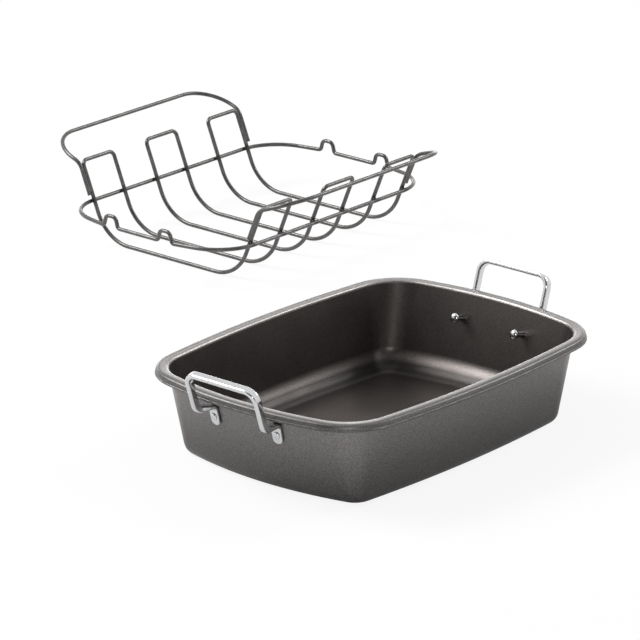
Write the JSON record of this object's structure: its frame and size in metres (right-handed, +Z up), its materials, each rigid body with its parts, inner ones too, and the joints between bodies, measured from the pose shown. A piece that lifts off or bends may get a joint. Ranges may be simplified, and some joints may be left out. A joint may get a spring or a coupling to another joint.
{
  "type": "roasting pan with rack",
  "caption": "Deep metal roasting pan with riveted loop handles and a U-shaped wire rack that lifts out, shown standing beside it.",
  "frame": {"origin": "the middle of the pan's underside, on the surface that the pan and the rack stand on", "axes": "+Z up, +X along the pan's long side towards its far handle, +Y across the pan, towards the side that the rack stands on"},
  "size_m": [0.8369, 0.8783, 0.1255],
  "materials": {
    "pan_coating": "dark metallic non-stick coating, satin, darker inside",
    "chrome": "bright chrome plating",
    "rack_wire": "graphite non-stick coating, satin"
  },
  "bodies": {
    "pan": {"pan_shell": "pan_coating", "handle_near": "chrome", "handle_far": "chrome", "rivet_near_left": "chrome", "rivet_near_right": "chrome", "rivet_far_left": "chrome", "rivet_far_right": "chrome"},
    "rack": {"rack_hoop_left": "rack_wire", "rack_hoop_middle": "rack_wire", "rack_hoop_right": "rack_wire", "rack_ring": "rack_wire", "rack_loop_back": "rack_wire", "rack_loop_front": "rack_wire", "ring_welds": "rack_wire", "loop_welds": "rack_wire"}
  },
  "joints": [
    {"name": "rack_lift", "type": "slide", "parent": "pan", "child": "rack", "axis": [-0.5755, -0.7459, 0.3352], "range_m": [0, 0.7159]}
  ]
}
